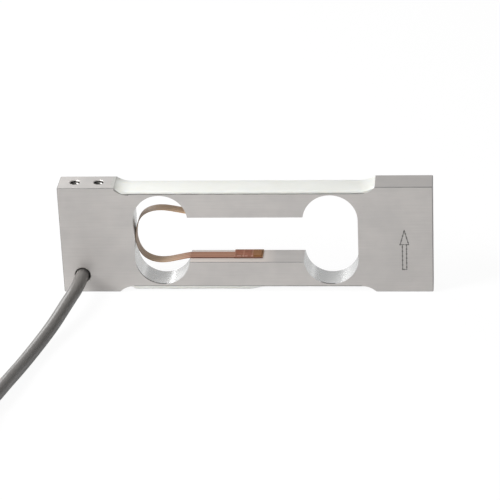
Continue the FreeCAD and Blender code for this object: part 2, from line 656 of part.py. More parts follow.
def main():
    nodes = {}
    body = elastic_body()
    nodes["elastic_body"] = body

    cores = []
    for index, colour in enumerate(CORE_NAMES):
        cores.append(core_wire(index))
        nodes[colour + "_core"] = cores[-1]
    jacket = cable(LEAD_ROUTE, CABLE_D / 2, "cable_lead")
    nodes["cable_potting"] = cable_potting([jacket] + cores)

    for name, out, more in (("upper", 1, 0.0), ("lower", -1, LOWER_SEAL_MORE)):
        floor_z = strip_side(out)
        small = {"terminal_strip_" + name: terminal_strip(out)}
        for hand, side in (("left", -1), ("right", 1)):
            small["strain_gauge_%s_%s" % (name, hand)] = strain_gauge(side * BORE_X, floor_z, out, -side)
            for place, y in (("front", -TAB_Y), ("back", TAB_Y)):
                small["gauge_wire_%s_%s_%s" % (name, hand, place)] = jumper_wire(side, y, out)
        for index in range(len(FEEDS)):
            small["feed_wire_%s_%d" % (name, index + 1)] = feed_wire(index, out)
        nodes.update(small)
        covered = [pocket(piece) for piece in small.values()]
        if out < 0:
            covered += cores
        nodes[("top" if out > 0 else "bottom") + "_sealant"] = sealant(floor_z, out, more, covered)

    nodes["flex_circuit"] = flex_circuit()
    nodes["compensation_resistor"] = compensation_resistor()

    nodes["cable_lead"] = jacket
    nodes["cable_coil"] = cable_coil()
    tail = cable(tail_route(), CABLE_D / 2, "cable_tail")
    nodes["cable_tail"] = tail
    nodes["coil_tie"] = coil_tie()
    inside = [tail]
    for colour, (side, level, spread) in zip(CORE_NAMES, FAN):
        nodes[colour + "_lead"], nodes[colour + "_lead_tip"] = lead(side, level, spread)
        inside.append(nodes[colour + "_lead"])
    pigtail = wire(lead_points(0, 0, SHIELD_SPREAD, LEAD_L - TIP_L), SHIELD_R)
    nodes["shield_pigtail"] = pigtail
    nodes["end_sleeve"] = end_sleeve(inside + [pigtail])

    for name, shape in nodes.items():
        shape.exportStep("parts/%s.step" % name)
        print(name, len(shape.Solids), shape.isValid(), "volume %.3f" % shape.Volume)


os.makedirs("parts", exist_ok=True)
main()
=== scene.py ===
import collections
import json
import math

import bpy
from mathutils import Matrix, Vector


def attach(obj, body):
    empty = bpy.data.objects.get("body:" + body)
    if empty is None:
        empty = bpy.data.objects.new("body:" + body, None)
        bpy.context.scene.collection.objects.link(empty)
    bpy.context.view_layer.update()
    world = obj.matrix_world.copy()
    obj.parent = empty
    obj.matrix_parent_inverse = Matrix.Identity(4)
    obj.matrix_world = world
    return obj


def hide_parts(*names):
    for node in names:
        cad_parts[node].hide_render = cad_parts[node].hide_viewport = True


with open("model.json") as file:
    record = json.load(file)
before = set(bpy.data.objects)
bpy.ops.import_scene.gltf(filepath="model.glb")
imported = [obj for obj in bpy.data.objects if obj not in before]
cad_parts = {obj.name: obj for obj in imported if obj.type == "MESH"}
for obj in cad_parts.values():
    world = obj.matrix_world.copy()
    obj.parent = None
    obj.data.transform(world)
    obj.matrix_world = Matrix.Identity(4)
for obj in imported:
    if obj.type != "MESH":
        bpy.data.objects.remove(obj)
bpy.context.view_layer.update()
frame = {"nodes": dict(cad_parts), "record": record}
MM = 0.001

# The camera: its place and lens in millimetres, its turns in radians, its near and far limits in metres
CAMERA_AT = (49.220, -495.395, 246.997)
CAMERA_YAW, CAMERA_PITCH, CAMERA_ROLL = -0.097905, 0.446407, -0.043834
CAMERA_LENS, CAMERA_SENSOR = 178.68, 36
CAMERA_NEAR, CAMERA_FAR = 0.01, 20

# The bar, its recesses, its cut-out and its tapped holes, in millimetres as all lengths below
BODY_L, BODY_H = 82.5, 25.4
HALF_W = 3.25
BODY_FRONT = -HALF_W
RECESS = 1.4
STEP_R = 4.5
STEP_X = 28.65
FLOOR_X = STEP_X - math.sqrt(STEP_R ** 2 - (STEP_R - RECESS) ** 2)
BORE_X = 18.75
HOLES_X, HOLE_STEP = 34.95, 5.3

# The cable's route from its hole to the coil and its tail from the coil on, as in the part's own source, with
# the radii of the coil's turns, the heights of its two layers and the straight stretches beside it
JACKET_R = 1.5
LEAD_ROUTE = [
    (-36.95, -0.9, 4.07),
    (-36.95, -7.6, 4.07),
    (-38.5, -15.6, 3.65),
    (-40.45, -24.0, 2.45),
    (-42.7, -32.3, 1.68),
    (-44.85, -41.3, 1.55),
    (-46.6, -49.3, 2.01),
    (-48.3, -56.4, 2.01),
]
TAIL_SHAPE = [(0.0, 0.0, 4.86), (0.0, 5.6, 4.86), (0.5, 13.6, 3.33), (1.7, 21.4, 1.8), (3.3, 28.9, 1.8)]
TURN_OUTER, TURN_INNER, TURN_TOP = 18.85, 15.75, 17.3
LOW_Z, TOP_Z = 2.01, 4.86
STUB_IN, STUB_OUT = 12.2, 13.2

# The coil, in degrees turned: the step between two points, and where the line moves inwards, climbs on top
# of the first turns and rises in a hump where it crosses itself
TURN_STEP = 22.5
INWARD_FROM, INWARD_OVER = 262, 92
CLIMB_FROM, CLIMB_OVER = 606, 64
HUMP_AT, HUMP_OVER, HUMP_RISE = 682, 60, 0.3

# Far end of the cable: the sleeve's shape is (distance from its back end, share of its radius)
SLEEVE_R, SLEEVE_OVER, SLEEVE_L = 1.75, 3.6, 9.0
SLEEVE_SHAPE = [
    (0.0, 1.0), (0.05, 1.0), (1.1, 0.99), (2.3, 1.0), (3.4, 0.985), (4.1, 0.975), (4.9, 0.87),
    (5.7, 0.75), (6.4, 0.69), (7.2, 0.7), (8.0, 0.675), (8.95, 0.68), (SLEEVE_L, 0.66),
]
CORE_D, BUNDLE_STEP = 0.5, 0.36
FLOOR_GAP = 0.05
LEAD_L, TIP_L, TIP_IN = 17.0, 4.0, 0.4
SHIELD_SPREAD = 0.3
FAN = {"red": (-1, 1, -4.6), "black": (-1, -1, -2.2), "green": (1, -1, 2.6), "white": (1, 1, 5.0)}
FAN_SHAPE = ((0.4, 0.42, 0.8), (0.75, 0.9, 1.0), (1.0, 1.0, 1.0))

# Strands: how many lie round the middle one, their radius, their distance from it and the length of a twist
CORE_STRANDS = (6, 0.052, 0.112, 3.2)
SHIELD_STRANDS = (5, 0.072, 0.118, 2.4)
GUIDE_STEPS = 12

# The coil's tie: strap, head with its window, and the tail with its teeth
TIE_T, TIE_W, TIE_CLEAR, SKIN = 0.4, 2.5, 0.08, 0.03
TIE_BEARING = -45
COIL_CORNER, COIL_SIDE = 0.6, 0.9
COIL_TOP_R, COIL_TOP_RUN, COIL_TOP_DROP = 1.12, 0.5, 0.45
TIE_HEAD = (3.8, 2.2, 2.4)
TIE_HEAD_DROP = 0.2
WINDOW_IN, WINDOW_DEEP, WINDOW_FACE = 0.5, 0.9, 2
TIE_TAIL, TIE_TAIL_OUT, TIE_TAIL_UP = (2.2, 0.6, 1.4), 1.1, 1.7
TOOTH, TOOTH_OUT, TOOTH_UP, TOOTH_STEP, TEETH = (1.6, 0.16, 0.16), 0.82, 1.25, 0.33, 4

# The silicone: its height over the recess floor at its edge, at its shoulder and along its middle
SEAL_EDGE, SEAL_SHOULDER, SEAL_CROWN = 0.32, 0.66, 0.86
SEAL_EDGE_BACK, SEAL_SHOULDER_BACK = 0.05, 0.42
SEAL_SHOULDER_IN = 0.55
SEAL_PILE, SEAL_PILE_L = 1.385, 3.6
SEAL_PILE_EDGE, SEAL_PILE_SHOULDER = 0.9, 0.98
LOWER_SEAL_MORE = 0.16
SEAL_CELLS = (180, 24)
SKIN_CLEAR, BED_CLEAR = 0.01, 0.003

# Its unevenness as waves: height, then radians for each millimetre along X, a start and radians along Y
SEAL_WAVES = ((0.018, 0.41, 0.8, 0.0), (0.012, 1.07, 2.1, 0.3))
SHOULDER_SHARE, CROWN_SHARE = 0.6, 0.4

# Its lip over the front edge of the upper beam
FRONT_ROW = -0.999
SEAL_LIP, SEAL_BULGE, SEAL_BULGE_LOW = 0.22, 0.09, 0.015
LIP_FADE = 1.2
LIP_WAVES = ((0.08, 0.9, 0.0, 0.0), (0.06, 2.3, 1.0, 0.0))

# Where the lower silicone grows flat, because no cores lie under it: from these places, over these lengths
CORES_RIGHT, CORES_RIGHT_OVER = 0.5, 3.5
CORES_LEFT, CORES_LEFT_OVER = -24.8, 1.7
DOME_EDGE = 0.02

# Threads in the tapped holes: the crest's corners are (out from the hole's wall, along it)
THREAD_PITCH, THREAD_DEEP, THREAD_START = 0.45, 7.4, 0.35
THREAD_STEPS = 28
CREST = ((0.02, 0.17), (0.02, -0.17), (-0.1, 0.0))

# The load arrow's outline, and the peened dots that it is made of: each step is an inset and its depth
ARROW_X, ARROW_TIP, ARROW_HEAD, ARROW_FOOT = 34.95, 15.0, 11.55, 5.5
ARROW_HEAD_HALF, ARROW_SHAFT_HALF = 0.93, 0.45
DOT_R, DOT_PITCH, DOT_SIDES, DOT_PROUD = 0.13, 0.27, 12, 0.001
DOT_STEPS = ((0.035, 0.018), (0.03, -0.006), (0.04, -0.008))
BIG_DOT, BIG_DOT_EVERY = 1.45, 4
PLAIN_DOT, DOT_UNEVEN, DOT_TURN = 1.02, 0.1, 2.4

# Where the bar's finish changes: how near a face counts as on it, the walls of the cut-out, the dark strips
# at their front edges, painted shade low in the bores, the painted shade lines along edges, the tapped holes
# with their painted shade, and the sealant smeared beside the recess
FACE = 0.02
WALL_X, WALL_Z = 25.0, 10.85
SLOT_X = 12.6
FRONT_STRIP, BORE_SHADE_DROP = 0.4, 2
BORE_SHADE_LEFT, BORE_SHADE_RIGHT = (-BORE_X - 5.9, -BORE_X + 0.6), (BORE_X - 2.4, BORE_X + 0.8)
EDGE_LINE, STEP_LINE, UNDER_LINE_Z = 0.17, 0.42, 0.5
TAPPED_R, TAPPED_IN = 1.16, 0.16
SMEAR_IN, SMEAR_OUT, SMEAR_SHARE = -0.5, 2.4, 0.7

# The bar's tones and gloss; the dark tones of the bores' low front edges, of the edges, of the line round the
# step and of the tapped holes are painted shade
WALL_TONE, SLOT_TONE = (0.84, 0.845, 0.84), (0.82, 0.755, 0.71)
BORE_EDGE_SHADE_TONE, SLOT_EDGE_TONE = (0.16, 0.155, 0.15), (0.42, 0.41, 0.4)
EDGE_SHADE_TONE, STEP_SHADOW_TONE = (0.38, 0.37, 0.36), (0.3, 0.29, 0.27)
TAPPED_SHADE_TONE, SMEAR_TONE = (0.05, 0.047, 0.045), (0.5, 0.505, 0.475)
METAL_SHARE, SMEAR_METAL_LESS = 0.75, 0.4
ROUGH_BASE, ROUGH_SPREAD, WALL_ROUGH_LESS = 0.36, 0.16, 0.21
WALL_BUMP_LESS = 0.85

# The silicone's finish: a thin grey end beside the cable and a painted shadow line along its upper front edge
THIN_FROM, THIN_OVER = STEP_X - 2.2, 2.6
SEAM_LOW, SEAM_SPREAD = -0.1, 0.16
SEAM_SHADOW_TONE = (0.2, 0.195, 0.175)

# The flexible circuit: its loop, its flat run and its pads along X, and its front edge
PAD_LEFT, PAD_RIGHT, PAD_FADE = -3.0, 3.4, 3.0
LOOP_LEFT, LOOP_L = -22.5, 9.0
FLAT_LEFT, LOOP_BLEND = -12.6, 5.5
FILM_FRONT, FILM_EDGE = -0.85, 0.22
PAD_ROW, PAD_ROW_W = -0.35, 0.4
PAD_OLIVE = 1.2
BEAD_LEVEL = 0.48

# The studio: the floor's size and height in metres, its tone, and the share of its white glow that each kind
# of ray sees; the world's level and its sweep, as the height of a direction; where the soft boxes aim
FLOOR_SIZE, FLOOR_Z = 6, -0.0001
FLOOR_TONE, FLOOR_ROUGHNESS, FLOOR_GLOW = 0.52, 0.9, 1.1
FLOOR_SEEN, FLOOR_MIRRORED, FLOOR_THROUGH = 0.85, 0.35, 0.9
WORLD_LEVEL, WORLD_BEHIND = 0.2, 0.3
SWEEP_TOP, SWEEP_FADE = 0.3, 0.2
LAMPS_AIM = (0, 0, 10)


def only(piece):
    """Leaves just this piece selected and active."""
    bpy.ops.object.select_all(action="DESELECT")
    piece.select_set(True)
    bpy.context.view_layer.objects.active = piece


def applied(piece):
    """Puts a piece's place, turn and size into its mesh."""
    only(piece)
    bpy.ops.object.transform_apply(location=True, rotation=True, scale=True)
    return piece


def settle(piece, name):
    """Names a finished piece and puts its place into its mesh."""
    piece.name = piece.data.name = name
    return applied(piece)


def modify(piece, kind, **settings):
    """Adds one modifier and applies it at once."""
    only(piece)
    modifier = piece.modifiers.new(kind.lower(), kind)
    for key, value in settings.items():
        setattr(modifier, key, value)
    bpy.ops.object.modifier_apply(modifier=modifier.name)


def smooth(piece, degrees):
    """Shades a piece smooth, apart from edges sharper than this."""
    only(piece)
    bpy.ops.object.shade_smooth_by_angle(angle=math.radians(degrees))


def face_outwards():
    """Turns the faces of the active piece outwards."""
    bpy.ops.object.mode_set(mode="EDIT")
    bpy.ops.mesh.select_all(action="SELECT")
    bpy.ops.mesh.normals_make_consistent(inside=False)
    bpy.ops.object.mode_set(mode="OBJECT")


def joined(pieces, name):
    """Joins pieces into one, which takes the name."""
    bpy.ops.object.select_all(action="DESELECT")
    for piece in pieces:
        piece.select_set(True)
    bpy.context.view_layer.objects.active = pieces[0]
    bpy.ops.object.join()
    return settle(pieces[0], name)


def own(piece, slot, stands_for=(), finish=None):
    """Gives a finished piece the material of its finish, or of its slot if no finish is named, and the body
    it rides on.
    """
    piece.data.materials.clear()
    piece.data.materials.append(finishes[finish or slot])
    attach(piece, "root")
    if stands_for:
        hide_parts(*stands_for)
    return piece


def eased(share):
    """The share held between 0 and 1, with a soft start and end."""
    share = min(1, max(0, share))
    return share * share * (3 - 2 * share)


def waves(x, y, rows):
    """Sum of sine waves over X and Y."""
    return sum(height * math.sin(along * x + start + across * y) for height, along, start, across in rows)


# Camera and cable


def add_camera():
    """A camera turned by yaw, then pitch, then roll."""
    forward = Vector((
        math.sin(CAMERA_YAW) * math.cos(CAMERA_PITCH),
        math.cos(CAMERA_YAW) * math.cos(CAMERA_PITCH),
        -math.sin(CAMERA_PITCH),
    ))
    right = Vector((math.cos(CAMERA_YAW), -math.sin(CAMERA_YAW), 0))
    up = right.cross(forward)
    turned_right = math.cos(CAMERA_ROLL) * right + math.sin(CAMERA_ROLL) * up
    turned_up = math.cos(CAMERA_ROLL) * up - math.sin(CAMERA_ROLL) * right
    turn = Matrix((turned_right, turned_up, -forward)).transposed().to_4x4()
    camera = bpy.data.objects.new("camera", bpy.data.cameras.new("camera"))
    bpy.context.scene.collection.objects.link(camera)
    camera.data.lens = CAMERA_LENS
    camera.data.sensor_width = CAMERA_SENSOR
    camera.data.clip_start, camera.data.clip_end = CAMERA_NEAR, CAMERA_FAR
    camera.matrix_world = Matrix.Translation(Vector(CAMERA_AT) * MM) @ turn
    bpy.context.scene.camera = camera


def line_curve(name, radius, sides, steps):
    """An empty curve object whose lines are round and closed at both ends."""
    curve = bpy.data.curves.new(name, "CURVE")
    curve.dimensions = "3D"
    curve.resolution_u = steps
    curve.bevel_depth = radius
    curve.bevel_resolution = sides
    curve.use_fill_caps = True
    piece = bpy.data.objects.new(name, curve)
    bpy.context.scene.collection.objects.link(piece)
    return piece


def add_line(piece, points):
    """Adds one smooth NURBS line to a curve; the points are its control points, in metres."""
    spline = piece.data.splines.new("NURBS")
    spline.points.add(len(points) - 1)
    for point, place in zip(spline.points, points):
        point.co = (*place, 1)
    spline.order_u = 3
    spline.use_endpoint_u = True


def nurbs(name, points, radius, sides, steps):
    """A round cord or wire as one NURBS line through control points in metres."""
    piece = line_curve(name, radius, sides, steps)
    add_line(piece, points)
    return piece


def coil_centre():
    """Where the cable meets the coil's outer turn, and the coil's centre on the floor."""
    end, before = Vector(LEAD_ROUTE[-1]), Vector(LEAD_ROUTE[-2])
    along = Vector((end.x - before.x, end.y - before.y, 0)).normalized()
    touch = end + along * STUB_IN
    centre = touch + Vector((along.y, -along.x, 0)) * TURN_OUTER
    return touch, Vector((centre.x, centre.y, 0))


def coil_turns(touch, centre):
    """Two turns side by side and half a turn on top of them, clockwise seen from above, to the west side."""
    start = math.degrees(math.atan2(touch.y - centre.y, touch.x - centre.x))
    whole = 2 * 360 + start + 180
    count = round(whole / TURN_STEP)
    # The smooth line runs inside its control points, at this share of their radius
    reach = 0.75 + 0.25 * math.cos(math.radians(TURN_STEP))
    points = []
    for i in range(1, count):
        turned = whole * i / count
        inward = eased((turned - INWARD_FROM) / INWARD_OVER)
        climb = eased((turned - CLIMB_FROM) / CLIMB_OVER)
        over = max(0, 1 - abs(turned - HUMP_AT) / HUMP_OVER)
        radius = TURN_OUTER + (TURN_INNER - TURN_OUTER) * inward + (TURN_TOP - TURN_INNER) * climb
        height = LOW_Z + (TOP_Z - LOW_Z) * climb + HUMP_RISE * over
        angle = math.radians(start - turned)
        outwards = Vector((math.cos(angle), math.sin(angle), 0))
        points.append(centre + outwards * (radius / reach) + Vector((0, 0, height)))
    return points


def tail_points(centre):
    """The cable's last stretch, from the coil's west side to its end."""
    west = Vector((centre.x - TURN_TOP, centre.y + STUB_OUT, 0))
    return [west + Vector(p) for p in TAIL_SHAPE]


def add_cable():
    """The whole cable in one line: from its hole to the coil, round it, and on to its end."""
    touch, centre = coil_centre()
    route = [Vector(p) for p in LEAD_ROUTE] + coil_turns(touch, centre) + tail_points(centre)
    piece = nurbs("cable", [p * MM for p in route], JACKET_R * MM, sides=5, steps=8)
    return own(piece, "grey_jacket", ("cable_lead", "cable_coil", "cable_tail"))


def read_back(points):
    """Places along the smooth line that has these control points."""
    guide = nurbs("guide", points, 0, sides=0, steps=GUIDE_STEPS)
    line = bpy.data.meshes.new_from_object(guide)
    places = [vertex.co.copy() for vertex in line.vertices]
    bpy.data.objects.remove(guide)
    bpy.data.meshes.remove(line)
    return places


def twisted(name, points, strands):
    """Strands wound round the line that has these control points, which are in metres."""
    count, strand_r, offset, pitch = strands
    places = read_back(points)
    piece = line_curve(name, strand_r * MM, sides=3, steps=2)
    rows = [(offset * MM, k / count) for k in range(count)] + [(0, 0)]
    for out, share in rows:
        spots = []
        run = 0
        for i, here in enumerate(places):
            before, after = places[max(i - 1, 0)], places[min(i + 1, len(places) - 1)]
            run += (here - before).length
            along = (after - before).normalized()
            side = along.cross(Vector((0, 0, 1))).normalized()
            angle = 2 * math.pi * (run / (pitch * MM) + share)
            spots.append(here + (side * math.cos(angle) + side.cross(along) * math.sin(angle)) * out)
        add_line(piece, spots)
    return piece


def far_end():
    """Where the jacket stops, the cable's direction there and the way across it."""
    tail = tail_points(coil_centre()[1])
    along = (tail[-1] - tail[-2]).normalized()
    return tail[-1], along, Vector((along.y, -along.x, 0))


def lead_points(side, level, spread):
    """A core's line beyond the jacket: straight in the sleeve, then fanned out and down."""
    end, along, across = far_end()
    nose = SLEEVE_L - SLEEVE_OVER
    rest = CORE_D / 2 + FLOOR_GAP
    start = end + across * (side * BUNDLE_STEP) + Vector((0, 0, level * BUNDLE_STEP))
    points = [start, start + along * (nose + CORE_D)]
    for share, wide, down in FAN_SHAPE:
        spot = end + along * (nose + share * (LEAD_L - TIP_L)) + across * (wide * spread)
        points.append(spot + Vector((0, 0, (rest - end.z) * down)))
    return [p * MM for p in points]


def add_leads():
    """The four cores with their tinned strands, and the twisted shield."""
    made = []
    for colour, (side, level, spread) in FAN.items():
        points = lead_points(side, level, spread)
        lead = nurbs(colour + "_insulation", points, CORE_D / 2 * MM, sides=4, steps=10)
        made.append(own(lead, colour + "_insulation", (colour + "_lead",)))
        end = points[-1]
        last = (end - points[-2]).normalized()
        run = [end - last * TIP_IN * MM, end + last * TIP_L / 2 * MM, end + last * TIP_L * MM]
        tip = twisted(colour + "_strands", run, CORE_STRANDS)
        made.append(own(tip, "tinned_copper", (colour + "_lead_tip",)))
    shield = twisted("shield_strands", lead_points(0, 0, SHIELD_SPREAD), SHIELD_STRANDS)
    made.append(own(shield, "tinned_copper", ("shield_pigtail",)))
    return made


def add_sleeve():
    """Heat-shrink drawn down from the jacket onto the cores, a little uneven where it shrank."""
    end, along, across = far_end()
    back = end - along * SLEEVE_OVER
    points = [(back + along * at) * MM for at, wide in SLEEVE_SHAPE]
    sleeve = nurbs("shrink_sleeve", points, SLEEVE_R * MM, sides=8, steps=6)
    for point, (at, wide) in zip(sleeve.data.splines[0].points, SLEEVE_SHAPE):
        point.radius = wide
    return own(sleeve, "shrink_sleeve", ("end_sleeve",))


# The coil's tie


def tie_line(grow):
    """The strap's line round the coil's section, as (radius, height), larger by grow."""
    inner, outer = TURN_INNER - JACKET_R - SKIN - grow, TURN_OUTER + JACKET_R + SKIN + grow
    low, high = LOW_Z - JACKET_R - SKIN - grow, TOP_Z + JACKET_R + SKIN + grow
    side = LOW_Z + COIL_SIDE
    half = COIL_TOP_R + grow / 2
    return [
        (inner + COIL_CORNER, low),
        (outer - COIL_CORNER, low),
        (outer, low + COIL_CORNER),
        (outer, side),
        (TURN_TOP + half + COIL_TOP_RUN, high - COIL_TOP_DROP),
        (TURN_TOP + half, high),
        (TURN_TOP - half, high),
        (TURN_TOP - half - COIL_TOP_RUN, high - COIL_TOP_DROP),
        (inner, side),
        (inner, low + COIL_CORNER),
    ]


def tie_strap():
    """The strap, wound once round the coil."""
    line = tie_line(TIE_CLEAR + TIE_T / 2)
    bpy.ops.object.select_all(action="DESELECT")
    bpy.ops.mesh.primitive_circle_add(vertices=len(line), radius=1)
    strap = bpy.context.active_object
    for vertex, (radius, height) in zip(strap.data.vertices, line):
        vertex.co = (-TIE_W / 2, -radius, height)
    bpy.ops.object.mode_set(mode="EDIT")
    bpy.ops.mesh.select_all(action="SELECT")
    bpy.ops.mesh.extrude_edges_move(TRANSFORM_OT_translate={"value": (TIE_W, 0, 0)})
    bpy.ops.object.mode_set(mode="OBJECT")
    face_outwards()
    modify(strap, "SOLIDIFY", thickness=TIE_T, offset=0)
    modify(strap, "BEVEL", width=0.12, segments=3, limit_method="ANGLE", angle_limit=math.radians(20))
    return strap


def block(size, at, tilt=0):
    """The blank that a moulded piece is shaped from, tilted about X by degrees."""
    bpy.ops.mesh.primitive_cube_add(size=1, location=at)
    piece = bpy.context.active_object
    piece.scale = size
    piece.rotation_euler = (math.radians(tilt), 0, 0)
    return applied(piece)


def tie_head(outer):
    """The moulded head, with the window that the tail comes through."""
    head = block(TIE_HEAD, (0, -outer - TIE_HEAD[1] / 2, LOW_Z - TIE_HEAD_DROP))
    for direction in (1, -1):
        bpy.ops.object.mode_set(mode="EDIT")
        bpy.ops.mesh.select_all(action="DESELECT")
        bpy.ops.object.mode_set(mode="OBJECT")
        for face in head.data.polygons:
            face.select = face.normal.z * direction > 0.9 and face.area > WINDOW_FACE
        bpy.ops.object.mode_set(mode="EDIT")
        bpy.ops.mesh.inset(thickness=WINDOW_IN)
        bpy.ops.mesh.extrude_region_move(TRANSFORM_OT_translate={"value": (0, 0, -WINDOW_DEEP * direction)})
        bpy.ops.object.mode_set(mode="OBJECT")
    modify(head, "BEVEL", width=0.22, segments=3, limit_method="ANGLE", angle_limit=math.radians(50))
    return head


def tie_tail(outer):
    """The trimmed tail over the head, and its teeth."""
    tail = block(TIE_TAIL, (0, -outer - TIE_TAIL_OUT, LOW_Z + TIE_TAIL_UP))
    modify(tail, "BEVEL", width=0.1, segments=2)
    heights = [LOW_Z + TOOTH_UP + TOOTH_STEP * number for number in range(TEETH)]
    return [tail] + [block(TOOTH, (0, -outer - TOOTH_OUT, height), tilt=45) for height in heights]


def add_tie():
    """Nylon tie round the coil, with its head on the outer side."""
    outer = TURN_OUTER + JACKET_R + SKIN + TIE_CLEAR
    tie = joined([tie_strap(), tie_head(outer)] + tie_tail(outer), "cable_tie")
    place_on_coil = Matrix.Translation(coil_centre()[1]) @ Matrix.Rotation(math.radians(TIE_BEARING), 4, "Z")
    tie.matrix_world = Matrix.Scale(MM, 4) @ place_on_coil
    applied(tie)
    smooth(tie, 35)
    return own(tie, "nylon_tie", ("coil_tie",))


# Silicone, threads and arrow


def floor_rise(x):
    """Height of the recess floor at x, with the cutter's round at each end."""
    past = max(0, abs(x) - FLOOR_X)
    return STEP_R - math.sqrt(STEP_R ** 2 - past ** 2)


def seal_rise(x, y, more):
    """Height of the silicone's skin over the recess floor, a little uneven as it was poured."""
    climb = max(0, 1 - (STEP_X - abs(x)) / SEAL_PILE_L) ** 2
    wave = waves(x, y, SEAL_WAVES)
    low, high = (SEAL_EDGE_BACK, SEAL_SHOULDER_BACK) if y > 0 else (SEAL_EDGE, SEAL_SHOULDER)
    sizes = [
        (low + wave, SEAL_PILE_EDGE * SEAL_PILE),
        (high + more + SHOULDER_SHARE * wave, SEAL_PILE_SHOULDER * SEAL_PILE),
        (SEAL_CROWN + more + CROWN_SHARE * wave, SEAL_PILE),
    ]
    edge, shoulder, crown = [plain + climb * (piled - plain) for plain, piled in sizes]
    inner = HALF_W - SEAL_SHOULDER_IN
    if abs(y) <= inner:
        return shoulder + (crown - shoulder) * (1 - (y / inner) ** 2)
    past = min(1, (abs(y) - inner) / SEAL_SHOULDER_IN)
    return edge + (shoulder - edge) * math.sqrt(1 - past ** 2)


def clear_of_cores(x):
    """0 where the lower silicone lies over the cable's cores and the strip, 1 past them."""
    return eased(max((x - CORES_RIGHT) / CORES_RIGHT_OVER, (CORES_LEFT - x) / CORES_LEFT_OVER))


def low_dome(y):
    """Height of the lower silicone where nothing thick lies under it."""
    return DOME_EDGE + (SEAL_CROWN + LOWER_SEAL_MORE) * (1 - (y / HALF_W) ** 2)


def seal_place(spot, out, more):
    """Where a point of the flat grid goes, which runs from -1 to 1 and whose upper layer is the skin."""
    skin = spot.z > 0.5
    y = HALF_W * math.sin(spot.y * math.pi / 2)
    piled = seal_rise(STEP_X, y, more)
    x_end = FLOOR_X + math.sqrt(STEP_R ** 2 - (STEP_R - piled) ** 2)
    x = x_end * math.sin(spot.x * math.pi / 2)
    rise = floor_rise(x) + BED_CLEAR
    if skin:
        rise = max(seal_rise(x, y, more), floor_rise(x) + SKIN_CLEAR)
    if skin and out < 0 and y < 0:
        flatter = rise + clear_of_cores(x) * (low_dome(y) - rise)
        rise = max(floor_rise(x) + SKIN_CLEAR, flatter)
    if spot.y < FRONT_ROW and out > 0:
        closing = min(1, max(0, (x_end - abs(x)) / LIP_FADE))
        y -= (SEAL_BULGE if skin else SEAL_BULGE_LOW) * closing
        if not skin:
            rise -= SEAL_LIP * closing * (1 + waves(x, 0, LIP_WAVES))
    floor_z = BODY_H - RECESS if out > 0 else RECESS
    return Vector((x, y, floor_z + out * rise)) * MM


def add_silicone(name, node, out, more):
    """Silicone in a recess: out is 1 for the upper one and -1 for the lower one, which is thicker by more."""
    bpy.ops.object.select_all(action="DESELECT")
    bpy.ops.mesh.primitive_grid_add(x_subdivisions=SEAL_CELLS[0], y_subdivisions=SEAL_CELLS[1], size=2)
    bed = bpy.context.active_object
    bpy.ops.object.mode_set(mode="EDIT")
    bpy.ops.mesh.select_all(action="SELECT")
    bpy.ops.mesh.extrude_region_move(TRANSFORM_OT_translate={"value": (0, 0, 1)})
    bpy.ops.object.mode_set(mode="OBJECT")
    for vertex in bed.data.vertices:
        vertex.co = seal_place(vertex.co.copy(), out, more)
    face_outwards()
    smooth(settle(bed, name), 50)
    own(bed, "white_silicone", (node,))


def thread_crest(hole_r, turns):
    """One helical crest from the origin upwards, made from a three-cornered section."""
    bpy.ops.object.select_all(action="DESELECT")
    bpy.ops.mesh.primitive_circle_add(vertices=len(CREST), fill_type="NGON")
    crest = bpy.context.active_object
    for vertex, (out, up) in zip(crest.data.vertices, CREST):
        vertex.co = Vector((hole_r + out, 0, up)) * MM
    bpy.ops.object.mode_set(mode="EDIT")
    bpy.ops.mesh.select_all(action="SELECT")
    bpy.ops.mesh.delete(type="ONLY_FACE")
    bpy.ops.object.mode_set(mode="OBJECT")
    modify(
        crest, "SCREW", screw_offset=THREAD_PITCH * MM, iterations=turns, steps=THREAD_STEPS,
        render_steps=THREAD_STEPS, use_merge_vertices=True, merge_threshold=1e-7,
    )
    face_outwards()
    return crest


def add_threads():
    """The helical crests in the four tapped holes."""
    turns = int(THREAD_DEEP / THREAD_PITCH)
    for mount in ("fixed_end_screws", "load_end_screws"):
        row = next(m for m in frame["record"]["mounts"] if m["name"] == mount)
        mouth, holes = Vector(row["pos_m"]), row["dims"]
        low = mouth.z + THREAD_START * MM
        if row["axis"][2] > 0:
            low = mouth.z - THREAD_START * MM - turns * THREAD_PITCH * MM
        crests = []
        for side in (-1, 1):
            crest = thread_crest(holes["hole_r_mm"], turns)
            crest.location = (mouth.x + side * holes["spacing_x_mm"] / 2 * MM, mouth.y, low)
            crests.append(crest)
        thread = joined(crests, mount.replace("screws", "threads"))
        smooth(thread, 30)
        own(thread, "milled_aluminium", finish="cut_thread")


def dotted(start, end):
    """Places of the peened dots from start to end, without the last one."""
    start, end = Vector(start), Vector(end)
    count = round((end - start).length / DOT_PITCH)
    return [start.lerp(end, i / count) for i in range(count)]


def arrow_spots():
    """Places of the dots along the arrow's outline, and across the root of its head."""
    corners = [
        (-ARROW_SHAFT_HALF, ARROW_FOOT),
        (-ARROW_SHAFT_HALF, ARROW_HEAD),
        (-ARROW_HEAD_HALF, ARROW_HEAD),
        (0, ARROW_TIP),
        (ARROW_HEAD_HALF, ARROW_HEAD),
        (ARROW_SHAFT_HALF, ARROW_HEAD),
        (ARROW_SHAFT_HALF, ARROW_FOOT),
    ]
    spots = []
    for start, end in zip(corners, corners[1:] + corners[:1]):
        spots += dotted(start, end)
    return spots + dotted(corners[1], corners[5])[1:]


